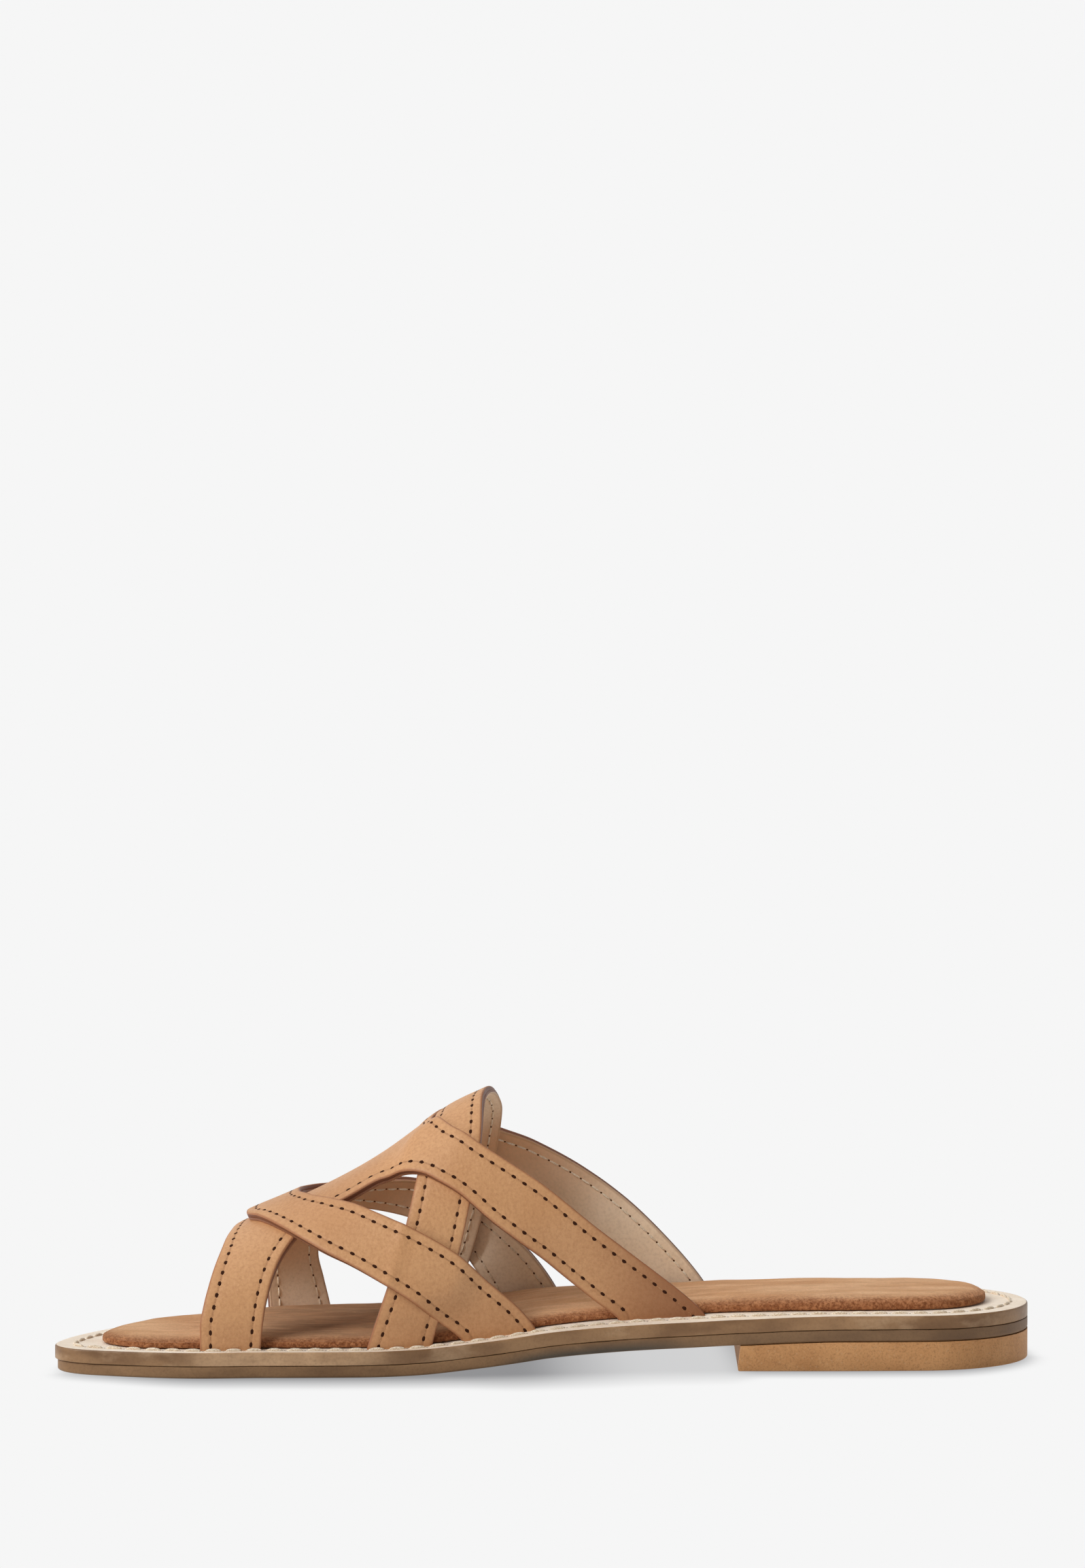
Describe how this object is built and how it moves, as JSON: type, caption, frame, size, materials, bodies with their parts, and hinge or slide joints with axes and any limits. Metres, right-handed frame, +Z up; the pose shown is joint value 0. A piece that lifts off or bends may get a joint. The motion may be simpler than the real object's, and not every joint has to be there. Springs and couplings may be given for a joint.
{
  "type": "strappy leather slide sandal",
  "caption": "Flat open slide sandal for a right foot: crossing leather straps over a padded footbed, on a thin layered sole with a low heel block.",
  "frame": {"origin": "on the ground under the middle of the sole's bounding box", "axes": "+X from toe to heel, +Y towards the outer side of the foot, +Z up"},
  "size_m": [0.258, 0.0852, 0.0716],
  "materials": {
    "outsole": "matt, leather-brown, lightly mottled",
    "board": "natural undyed top with a burnished brown edge",
    "heel": "stacked, fibrous, waxed edge",
    "footbed": "brown suede with a raised nap",
    "straps": "smooth tan grain, semi-matt, with burnished edges"
  },
  "bodies": {
    "root": {"outsole": "outsole", "midsole": "board", "heel": "heel", "footbed": "footbed", "upper": "straps"}
  },
  "joints": []
}
